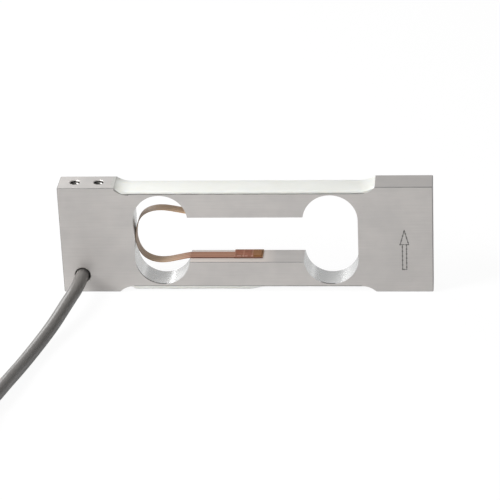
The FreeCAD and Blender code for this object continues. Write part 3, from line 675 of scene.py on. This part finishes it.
def peened_dot():
    """One small dished dot with a thrown-up rim, with its millimetres as metres."""
    bpy.ops.object.select_all(action="DESELECT")
    bpy.ops.mesh.primitive_circle_add(
        vertices=DOT_SIDES, radius=DOT_R, fill_type="NGON", rotation=(math.pi / 2, 0, 0)
    )
    dot = applied(bpy.context.active_object)
    bpy.ops.object.mode_set(mode="EDIT")
    bpy.ops.mesh.select_all(action="SELECT")
    for thickness, depth in DOT_STEPS:
        bpy.ops.mesh.inset(thickness=thickness, depth=depth)
    bpy.ops.object.mode_set(mode="OBJECT")
    return dot


def add_arrow():
    """The peened outline of the load arrow."""
    dot = peened_dot()
    dots = []
    for number, (x, z) in enumerate(arrow_spots()):
        copy = bpy.data.objects.new("dot", dot.data.copy())
        bpy.context.scene.collection.objects.link(copy)
        size = PLAIN_DOT + DOT_UNEVEN * math.sin(DOT_TURN * number)
        if number % BIG_DOT_EVERY == 0:
            size = BIG_DOT
        copy.scale = (size * MM, MM, size * MM)
        copy.location = Vector((ARROW_X + x, BODY_FRONT - DOT_PROUD, z)) * MM
        dots.append(copy)
    bpy.data.objects.remove(dot)
    own(joined(dots, "load_arrow"), "milled_aluminium", finish="peened_mark")


# Shader nodes


def shader(name, base, roughness, metallic=0.0, **sockets):
    """A new material, its node tree and its Principled shader."""
    material = bpy.data.materials.new(name)
    material.use_nodes = True
    tree = material.node_tree
    main = tree.nodes["Principled BSDF"]
    main.inputs["Base Color"].default_value = (*base, 1)
    main.inputs["Roughness"].default_value = roughness
    main.inputs["Metallic"].default_value = metallic
    for socket, value in sockets.items():
        main.inputs[socket.replace("_", " ")].default_value = value
    return material, tree, main


def place(tree, stretch=(1, 1, 1)):
    """Object coordinates in millimetres, multiplied by stretch."""
    coords = tree.nodes.new("ShaderNodeTexCoord")
    mapping = tree.nodes.new("ShaderNodeMapping")
    mapping.inputs["Scale"].default_value = [share / MM for share in stretch]
    tree.links.new(coords.outputs["Object"], mapping.inputs["Vector"])
    return mapping.outputs["Vector"]


def axes(tree):
    """Object coordinates in millimetres as x, y and z."""
    spot = tree.nodes.new("ShaderNodeSeparateXYZ")
    tree.links.new(place(tree), spot.inputs[0])
    return spot.outputs


def noise(tree, stretch, size, detail):
    """Soft noise; a larger size number makes it finer."""
    node = tree.nodes.new("ShaderNodeTexNoise")
    node.inputs["Scale"].default_value = size
    node.inputs["Detail"].default_value = detail
    node.inputs["Roughness"].default_value = 0.55
    tree.links.new(place(tree, stretch), node.inputs["Vector"])
    return node.outputs["Fac"]


def bands(tree, direction, size, distortion=0.0):
    """Parallel bands that follow each other along one axis."""
    node = tree.nodes.new("ShaderNodeTexWave")
    node.wave_type = "BANDS"
    node.bands_direction = direction
    node.inputs["Scale"].default_value = size
    node.inputs["Distortion"].default_value = distortion
    tree.links.new(place(tree), node.inputs["Vector"])
    return node.outputs["Fac"]


def ramp(tree, value, stops):
    """Colours along a value; stops are (place, colour)."""
    node = tree.nodes.new("ShaderNodeValToRGB")
    elements = node.color_ramp.elements
    while len(elements) < len(stops):
        elements.new(0.5)
    for element, (at, colour) in zip(elements, stops):
        element.position = at
        element.color = (*colour, 1)
    tree.links.new(value, node.inputs["Fac"])
    return node.outputs["Color"]


def threshold(tree, value, low, high):
    """Black below low, white above high, and grey between them."""
    return ramp(tree, value, [(low, (0, 0, 0)), (high, (1, 1, 1))])


def mixed(tree, share, a, b, blend="MIX"):
    """Colour a turned into colour b by share; each may be a socket or a fixed value."""
    node = tree.nodes.new("ShaderNodeMix")
    node.data_type = "RGBA"
    node.blend_type = blend
    for socket, value in ((node.inputs[0], share), (node.inputs[6], a), (node.inputs[7], b)):
        if hasattr(value, "default_value"):
            tree.links.new(value, socket)
        else:
            socket.default_value = value if isinstance(value, (int, float)) else (*value, 1)
    return node.outputs[2]


def maths(tree, operation, a, b=0.0):
    """One Math node; a and b may be sockets or numbers."""
    node = tree.nodes.new("ShaderNodeMath")
    node.operation = operation
    for socket, value in ((node.inputs[0], a), (node.inputs[1], b)):
        if hasattr(value, "default_value"):
            tree.links.new(value, socket)
        else:
            socket.default_value = value
    return node.outputs[0]


def scaled(tree, value, factor, base):
    """The value times the factor, plus the base."""
    result = maths(tree, "MULTIPLY_ADD", value, factor)
    result.node.inputs[2].default_value = base
    return result


def rising(tree, value, start, run):
    """A share that grows from 0 at start to 1 a run further on; the run may be negative."""
    result = scaled(tree, value, 1 / run, -start / run)
    result.node.use_clamp = True
    return result


def below(tree, value, limit):
    """1 where the value is under the limit."""
    return maths(tree, "LESS_THAN", value, limit)


def above(tree, value, limit):
    """1 where the value is over the limit."""
    return maths(tree, "GREATER_THAN", value, limit)


def both(tree, *shares):
    """The shares multiplied together."""
    result = shares[0]
    for share in shares[1:]:
        result = maths(tree, "MULTIPLY", result, share)
    return result


def either(tree, *shares):
    """The largest of the shares."""
    result = shares[0]
    for share in shares[1:]:
        result = maths(tree, "MAXIMUM", result, share)
    return result


def between(tree, value, low, high):
    """1 where the value lies between low and high."""
    return both(tree, above(tree, value, low), below(tree, value, high))


def off(tree, value, middle=0.0):
    """The value's distance from the middle."""
    return maths(tree, "ABSOLUTE", maths(tree, "SUBTRACT", value, middle))


def square_sum(tree, a, b):
    """The square of a plus the square of b."""
    return maths(tree, "ADD", maths(tree, "POWER", a, 2.0), maths(tree, "POWER", b, 2.0))


def bump(tree, main, height, strength, distance):
    """Relief from a height, as deep as the distance in millimetres."""
    node = tree.nodes.new("ShaderNodeBump")
    node.inputs["Strength"].default_value = strength
    node.inputs["Distance"].default_value = distance * MM
    tree.links.new(height, node.inputs["Height"])
    tree.links.new(node.outputs["Normal"], main.inputs["Normal"])


# The bar's finish


Spot = collections.namedtuple("Spot", "x y z along across off_middle")


def spot_on_bar(tree):
    """Where a point of the bar lies, also as distances from the bar's middle."""
    x, y, z = axes(tree)
    return Spot(x, y, z, off(tree, x), off(tree, y), off(tree, z, BODY_H / 2))


def milled_grain(tree, cutter):
    """Fine lines that the cutter left along the bar, on a cloudy tone."""
    grain = mixed(tree, cutter, (0.625, 0.601, 0.583), (0.722, 0.695, 0.675))
    cloud = noise(tree, stretch=(1, 1, 1), size=0.16, detail=2.0)
    tone = ramp(tree, cloud, [(0.35, (0.93, 0.93, 0.93)), (0.65, (1.0, 0.995, 0.99))])
    return mixed(tree, 1.0, grain, tone, "MULTIPLY")


def cut_out_walls(tree, spot):
    """Two shares, each 1 on its walls: those of the bores, and those of the slot between them."""
    inside = both(tree, below(tree, spot.across, HALF_W - FACE), below(tree, spot.off_middle, WALL_Z))
    in_bore = both(tree, inside, between(tree, spot.along, SLOT_X, WALL_X))
    in_slot = both(tree, inside, below(tree, spot.along, SLOT_X))
    return in_bore, in_slot


def with_walls(tree, colour, spot, in_bore, in_slot):
    """Bright bores, a slot that is warmer beside the circuit's pad, a dark strip at the slot's front edges,
    and painted shade as a dark strip low on each bore's front edge.
    """
    colour = mixed(tree, in_bore, colour, WALL_TONE)
    past_pad = rising(tree, spot.x, PAD_RIGHT, PAD_FADE)
    colour = mixed(tree, in_slot, colour, mixed(tree, past_pad, SLOT_TONE, colour))
    at_front = below(tree, spot.y, FRONT_STRIP - HALF_W)
    colour = mixed(tree, both(tree, in_slot, at_front), colour, SLOT_EDGE_TONE)
    # Painted shade: the front edges of the bores are darkened low down, beside their walls
    low = below(tree, spot.z, BODY_H / 2 - BORE_SHADE_DROP)
    beside = either(tree, between(tree, spot.x, *BORE_SHADE_LEFT), between(tree, spot.x, *BORE_SHADE_RIGHT))
    return mixed(tree, both(tree, in_bore, at_front, low, beside), colour, BORE_EDGE_SHADE_TONE)


def with_front_shadow_lines(tree, colour, spot):
    """Painted shadow of the silicone's lips on the front face: dark lines round the upper recess's left step
    and along the lower beam's bottom.
    """
    on_front = below(tree, spot.y, FACE - HALF_W)
    from_arc_x = maths(tree, "ADD", spot.x, FLOOR_X)
    from_arc_z = maths(tree, "SUBTRACT", spot.z, BODY_H - RECESS + STEP_R)
    near_arc = below(tree, square_sum(tree, from_arc_x, from_arc_z), (STEP_R + STEP_LINE) ** 2)
    on_step = both(tree, near_arc, between(tree, spot.x, -STEP_X, -FLOOR_X), on_front)
    colour = mixed(tree, on_step, colour, STEP_SHADOW_TONE)
    low = between(tree, spot.z, UNDER_LINE_Z, RECESS + EDGE_LINE)
    under_beam = both(tree, on_front, low, below(tree, spot.along, FLOOR_X))
    return mixed(tree, under_beam, colour, EDGE_SHADE_TONE)


def with_edge_shade(tree, colour, spot):
    """Painted shade: dark narrow lines along the outer edges of the end blocks."""
    near_side = above(tree, spot.across, HALF_W - EDGE_LINE)
    near_end = above(tree, spot.along, BODY_L / 2 - EDGE_LINE)
    near_top = above(tree, spot.off_middle, BODY_H / 2 - EDGE_LINE)
    pairs = ((near_side, near_end), (near_side, near_top), (near_end, near_top))
    return mixed(tree, either(tree, *(both(tree, *pair) for pair in pairs)), colour, EDGE_SHADE_TONE)


def with_tapped_hole_shade(tree, colour, spot):
    """Painted shade: dark walls in the tapped holes, from just inside their mouths."""
    from_hole = maths(tree, "SUBTRACT", off(tree, spot.along, HOLES_X), HOLE_STEP / 2)
    in_hole = below(tree, square_sum(tree, from_hole, spot.across), TAPPED_R ** 2)
    deep = below(tree, spot.off_middle, BODY_H / 2 - TAPPED_IN)
    return mixed(tree, both(tree, in_hole, deep), colour, TAPPED_SHADE_TONE)


def smeared_sealant(tree, spot):
    """1 where sealant was smeared onto the top of the left block, beside the recess."""
    uneven = noise(tree, stretch=(1, 1, 1), size=0.7, detail=3.0)
    near = below(tree, spot.along, scaled(tree, uneven, SMEAR_OUT, STEP_X + SMEAR_IN))
    return both(tree, below(tree, spot.x, 0.0), near, above(tree, spot.z, BODY_H - FACE))


def milled_aluminium():
    """Matte milled faces, smoother walls in the cut-out, painted shade and painted shadow along the bar's
    edges and in its holes, and sealant smeared on its top.
    """
    material, tree, main = shader("milled_aluminium", (0.64, 0.622, 0.607), 0.42, METAL_SHARE)
    spot = spot_on_bar(tree)
    cutter = noise(tree, stretch=(0.12, 3.0, 3.0), size=1.0, detail=4.0)
    in_bore, in_slot = cut_out_walls(tree, spot)
    colour = with_walls(tree, milled_grain(tree, cutter), spot, in_bore, in_slot)
    for paint in (with_front_shadow_lines, with_edge_shade, with_tapped_hole_shade):
        colour = paint(tree, colour, spot)
    smeared = smeared_sealant(tree, spot)
    colour = mixed(tree, maths(tree, "MULTIPLY", smeared, SMEAR_SHARE), colour, SMEAR_TONE)
    tree.links.new(colour, main.inputs["Base Color"])

    tree.links.new(scaled(tree, smeared, -SMEAR_METAL_LESS, METAL_SHARE), main.inputs["Metallic"])
    rough = scaled(tree, cutter, ROUGH_SPREAD, ROUGH_BASE)
    smoother = maths(tree, "MULTIPLY", in_bore, WALL_ROUGH_LESS)
    tree.links.new(maths(tree, "SUBTRACT", rough, smoother), main.inputs["Roughness"])
    relief = maths(tree, "MULTIPLY", cutter, scaled(tree, in_bore, -WALL_BUMP_LESS, 1.0))
    bump(tree, main, relief, strength=0.25, distance=0.02)
    return material


# The other finishes


def white_silicone():
    """Slightly translucent white, thin and grey at the cable's end, with a painted shadow line along its
    front.
    """
    material, tree, main = shader("white_silicone", (0.84, 0.845, 0.8), 0.38, Subsurface_Weight=0.25)
    main.inputs["Subsurface Radius"].default_value = (0.0012, 0.0011, 0.0009)
    x, y, z = axes(tree)
    cloud = noise(tree, stretch=(0.5, 1, 1), size=0.35, detail=3.0)
    colour = mixed(tree, cloud, (0.8, 0.81, 0.76), (0.88, 0.885, 0.85))
    thin = rising(tree, x, -THIN_FROM, -THIN_OVER)
    colour = mixed(tree, maths(tree, "POWER", thin, 2.0), colour, SMEAR_TONE)
    # Painted shadow: a dark uneven line on the lowest part of the upper silicone's lip, over the front face
    patchy = noise(tree, stretch=(0.5, 0.5, 0.5), size=1.2, detail=3.0)
    line_top = scaled(tree, patchy, SEAM_SPREAD, BODY_H / 2 - RECESS + SEAM_LOW)
    by_edge = below(tree, off(tree, z, BODY_H / 2), line_top)
    shadow_line = both(tree, by_edge, below(tree, y, -HALF_W), above(tree, z, BODY_H / 2))
    tree.links.new(mixed(tree, shadow_line, colour, SEAM_SHADOW_TONE), main.inputs["Base Color"])
    bump(tree, main, noise(tree, stretch=(0.4, 1, 1), size=0.8, detail=2.0), strength=0.3, distance=0.08)
    return material


def circuit_film(tree, x, z, mottle):
    """Golden film in the loop and redder film on the flat run, both with paler tracks."""
    loop = mixed(tree, rising(tree, x, LOOP_LEFT, LOOP_L), (0.37, 0.29, 0.235), (0.48, 0.29, 0.15))
    loop = mixed(tree, mottle, loop, (0.44, 0.29, 0.175))
    tracks = threshold(tree, bands(tree, "Y", size=0.36), 0.5, 0.62)
    loop = mixed(tree, tracks, loop, (0.5, 0.36, 0.25))
    flat = mixed(tree, tracks, (0.265, 0.122, 0.072), (0.365, 0.19, 0.122))
    reddening = rising(tree, x, FLAT_LEFT - LOOP_BLEND, LOOP_BLEND)
    return mixed(tree, both(tree, reddening, below(tree, z, BODY_H / 2)), loop, flat)


def circuit_pad(tree, x, y):
    """Brick-red copper patches with paler gaps, a row of solder beads and an olive right end."""
    patches = noise(tree, stretch=(0.9, 1.6, 1), size=0.75, detail=1.0)
    stops = [(0.36, (0.175, 0.08, 0.032)), (0.44, (0.22, 0.07, 0.032)), (0.62, (0.27, 0.095, 0.052))]
    gaps = threshold(tree, bands(tree, "X", size=0.16, distortion=1.2), 0.94, 0.99)
    pad = mixed(tree, gaps, ramp(tree, patches, stops), (0.33, 0.15, 0.1))
    beads = above(tree, noise(tree, stretch=(3.0, 1.0, 1.0), size=1.0, detail=1.0), BEAD_LEVEL)
    bead_row = both(tree, between(tree, y, PAD_ROW, PAD_ROW + PAD_ROW_W), beads)
    pad = mixed(tree, bead_row, pad, (0.42, 0.24, 0.19))
    return mixed(tree, above(tree, x, PAD_OLIVE), pad, (0.235, 0.105, 0.03))


def polyimide():
    """Amber film on copper tracks, with pads at both ends and a dark front edge to the right of its loop."""
    material, tree, main = shader("polyimide", (0.36, 0.2, 0.11), 0.4, Specular_IOR_Level=0.3)
    x, y, z = axes(tree)
    mottle = noise(tree, stretch=(1, 1, 1), size=1.1, detail=3.0)
    on_pad = above(tree, x, PAD_LEFT)
    colour = mixed(tree, on_pad, circuit_film(tree, x, z, mottle), circuit_pad(tree, x, y))
    at_edge = both(tree, below(tree, y, FILM_FRONT + FILM_EDGE), above(tree, x, FLAT_LEFT))
    tree.links.new(mixed(tree, at_edge, colour, (0.13, 0.05, 0.028)), main.inputs["Base Color"])
    bump(tree, main, mottle, strength=0.2, distance=0.03)
    return material


def plain(name, low, high, roughness, metallic=0.0, gloss=0.5, size=2.0, distance=0.02):
    """A finish whose colour wanders between two close tones, with a fine matching relief."""
    material, tree, main = shader(name, low, roughness, metallic, Specular_IOR_Level=gloss)
    spread = noise(tree, stretch=(1, 1, 1), size=size, detail=3.0)
    tree.links.new(mixed(tree, spread, low, high), main.inputs["Base Color"])
    bump(tree, main, spread, strength=0.15, distance=distance)
    return material


# Each plain finish: two tones, roughness, then where needed metal, gloss, the noise's size and its relief
PLAIN_FINISHES = {
    "peened_mark": ((0.14, 0.135, 0.13), (0.22, 0.213, 0.205), 0.55, 0.4),
    # The thread's tones are darker than the bar's: painted shade inside the tapped holes
    "cut_thread": ((0.28, 0.27, 0.26), (0.4, 0.39, 0.38), 0.35, 0.8),
    "grey_jacket": ((0.135, 0.128, 0.121), (0.165, 0.157, 0.149), 0.3, 0.0, 0.9, 3.0, 0.03),
    "gauge_foil": ((0.42, 0.25, 0.1), (0.6, 0.38, 0.18), 0.35, 0.4),
    "terminal_board": ((0.3, 0.24, 0.1), (0.38, 0.31, 0.15), 0.5),
    "enamelled_wire": ((0.35, 0.12, 0.04), (0.45, 0.18, 0.07), 0.3, 0.6),
    "dark_epoxy": ((0.018, 0.017, 0.016), (0.035, 0.033, 0.03), 0.3),
    "resistor_foil": ((0.21, 0.095, 0.036), (0.27, 0.122, 0.046), 0.5, 0.0, 0.25),
    "nylon_tie": ((0.012, 0.012, 0.012), (0.022, 0.022, 0.021), 0.42),
    "shrink_sleeve": ((0.014, 0.014, 0.014), (0.026, 0.026, 0.025), 0.5),
    "tinned_copper": ((0.52, 0.51, 0.49), (0.66, 0.65, 0.63), 0.3, 0.9),
    "red_insulation": ((0.42, 0.012, 0.01), (0.5, 0.02, 0.015), 0.35),
    "black_insulation": ((0.012, 0.012, 0.012), (0.022, 0.022, 0.022), 0.35),
    "green_insulation": ((0.008, 0.17, 0.035), (0.014, 0.22, 0.05), 0.35),
    "white_insulation": ((0.72, 0.72, 0.7), (0.8, 0.8, 0.78), 0.35),
}
finishes = {name: plain(name, *look) for name, look in PLAIN_FINISHES.items()}
finishes["milled_aluminium"] = milled_aluminium()
finishes["white_silicone"] = white_silicone()
finishes["polyimide"] = polyimide()


# The studio


def add_floor():
    """A pale floor that glows white for the camera and still takes the object's shadow."""
    bpy.ops.mesh.primitive_plane_add(size=FLOOR_SIZE, location=(0, 0, FLOOR_Z))
    floor = bpy.context.active_object
    floor.name = "floor"
    material, tree, main = shader("pale_floor", (FLOOR_TONE, FLOOR_TONE, FLOOR_TONE), FLOOR_ROUGHNESS)
    glow = tree.nodes.new("ShaderNodeEmission")
    glow.inputs["Strength"].default_value = FLOOR_GLOW
    rays = tree.nodes.new("ShaderNodeLightPath")
    seen = maths(tree, "MULTIPLY", rays.outputs["Is Camera Ray"], FLOOR_SEEN)
    mirrored = maths(tree, "MULTIPLY", rays.outputs["Is Glossy Ray"], FLOOR_MIRRORED)
    through = maths(tree, "MULTIPLY", rays.outputs["Is Transmission Ray"], FLOOR_THROUGH)
    blend = tree.nodes.new("ShaderNodeMixShader")
    tree.links.new(either(tree, seen, mirrored, through), blend.inputs[0])
    tree.links.new(main.outputs[0], blend.inputs[1])
    tree.links.new(glow.outputs[0], blend.inputs[2])
    tree.links.new(blend.outputs[0], tree.nodes["Material Output"].inputs["Surface"])
    floor.data.materials.append(material)


def add_lamp(name, at, size, power):
    """A rectangular soft box aimed at the object."""
    lamp = bpy.data.lights.new(name, "AREA")
    lamp.shape = "RECTANGLE"
    lamp.size, lamp.size_y = [side * MM for side in size]
    lamp.energy = power
    holder = bpy.data.objects.new(name, lamp)
    bpy.context.scene.collection.objects.link(holder)
    holder.location = Vector(at) * MM
    aim = Vector(LAMPS_AIM) * MM - holder.location
    holder.rotation_euler = aim.to_track_quat("-Z", "Y").to_euler()


def add_world():
    """White to the camera, a low level that is stronger from behind, and a sweep low behind it for gloss."""
    world = bpy.data.worlds.new("studio")
    bpy.context.scene.world = world
    world.use_nodes = True
    tree = world.node_tree
    back = tree.nodes["Background"]
    coords = tree.nodes.new("ShaderNodeTexCoord")
    direction = tree.nodes.new("ShaderNodeSeparateXYZ")
    tree.links.new(coords.outputs["Generated"], direction.inputs[0])
    rays = tree.nodes.new("ShaderNodeLightPath")
    behind = maths(tree, "MAXIMUM", direction.outputs["Y"], 0.0)
    level = scaled(tree, behind, WORLD_BEHIND, WORLD_LEVEL)
    sweep = rising(tree, direction.outputs["Z"], SWEEP_TOP, -SWEEP_FADE)
    mirrored = both(tree, sweep, behind, rays.outputs["Is Glossy Ray"])
    seen = either(tree, rays.outputs["Is Camera Ray"], rays.outputs["Is Transmission Ray"])
    tree.links.new(either(tree, seen, level, mirrored), back.inputs["Strength"])
    back.inputs["Color"].default_value = (1, 1, 1, 1)


# Making it all: the camera and the cable first, then the solids' finishes and the other pieces

add_camera()
cable = add_cable()

for row in frame["record"]["subparts"]:
    node = frame["nodes"][row["node"]]
    node.data.materials.clear()
    node.data.materials.append(finishes[row["material_slot"]])

[add_tie(), add_sleeve()] + add_leads()
add_silicone("top_silicone", "top_sealant", 1, 0)
add_silicone("bottom_silicone", "bottom_sealant", -1, LOWER_SEAL_MORE)
add_threads()
add_arrow()

add_floor()
add_world()
add_lamp("softbox_left", at=(-300, -140, 220), size=(140, 200), power=1.75)
add_lamp("softbox_behind", at=(-220, 280, 220), size=(200, 200), power=0.4)
add_lamp("softbox_high", at=(50, -380, 330), size=(300, 160), power=0.38)
bpy.context.scene.view_settings.view_transform = "Standard"
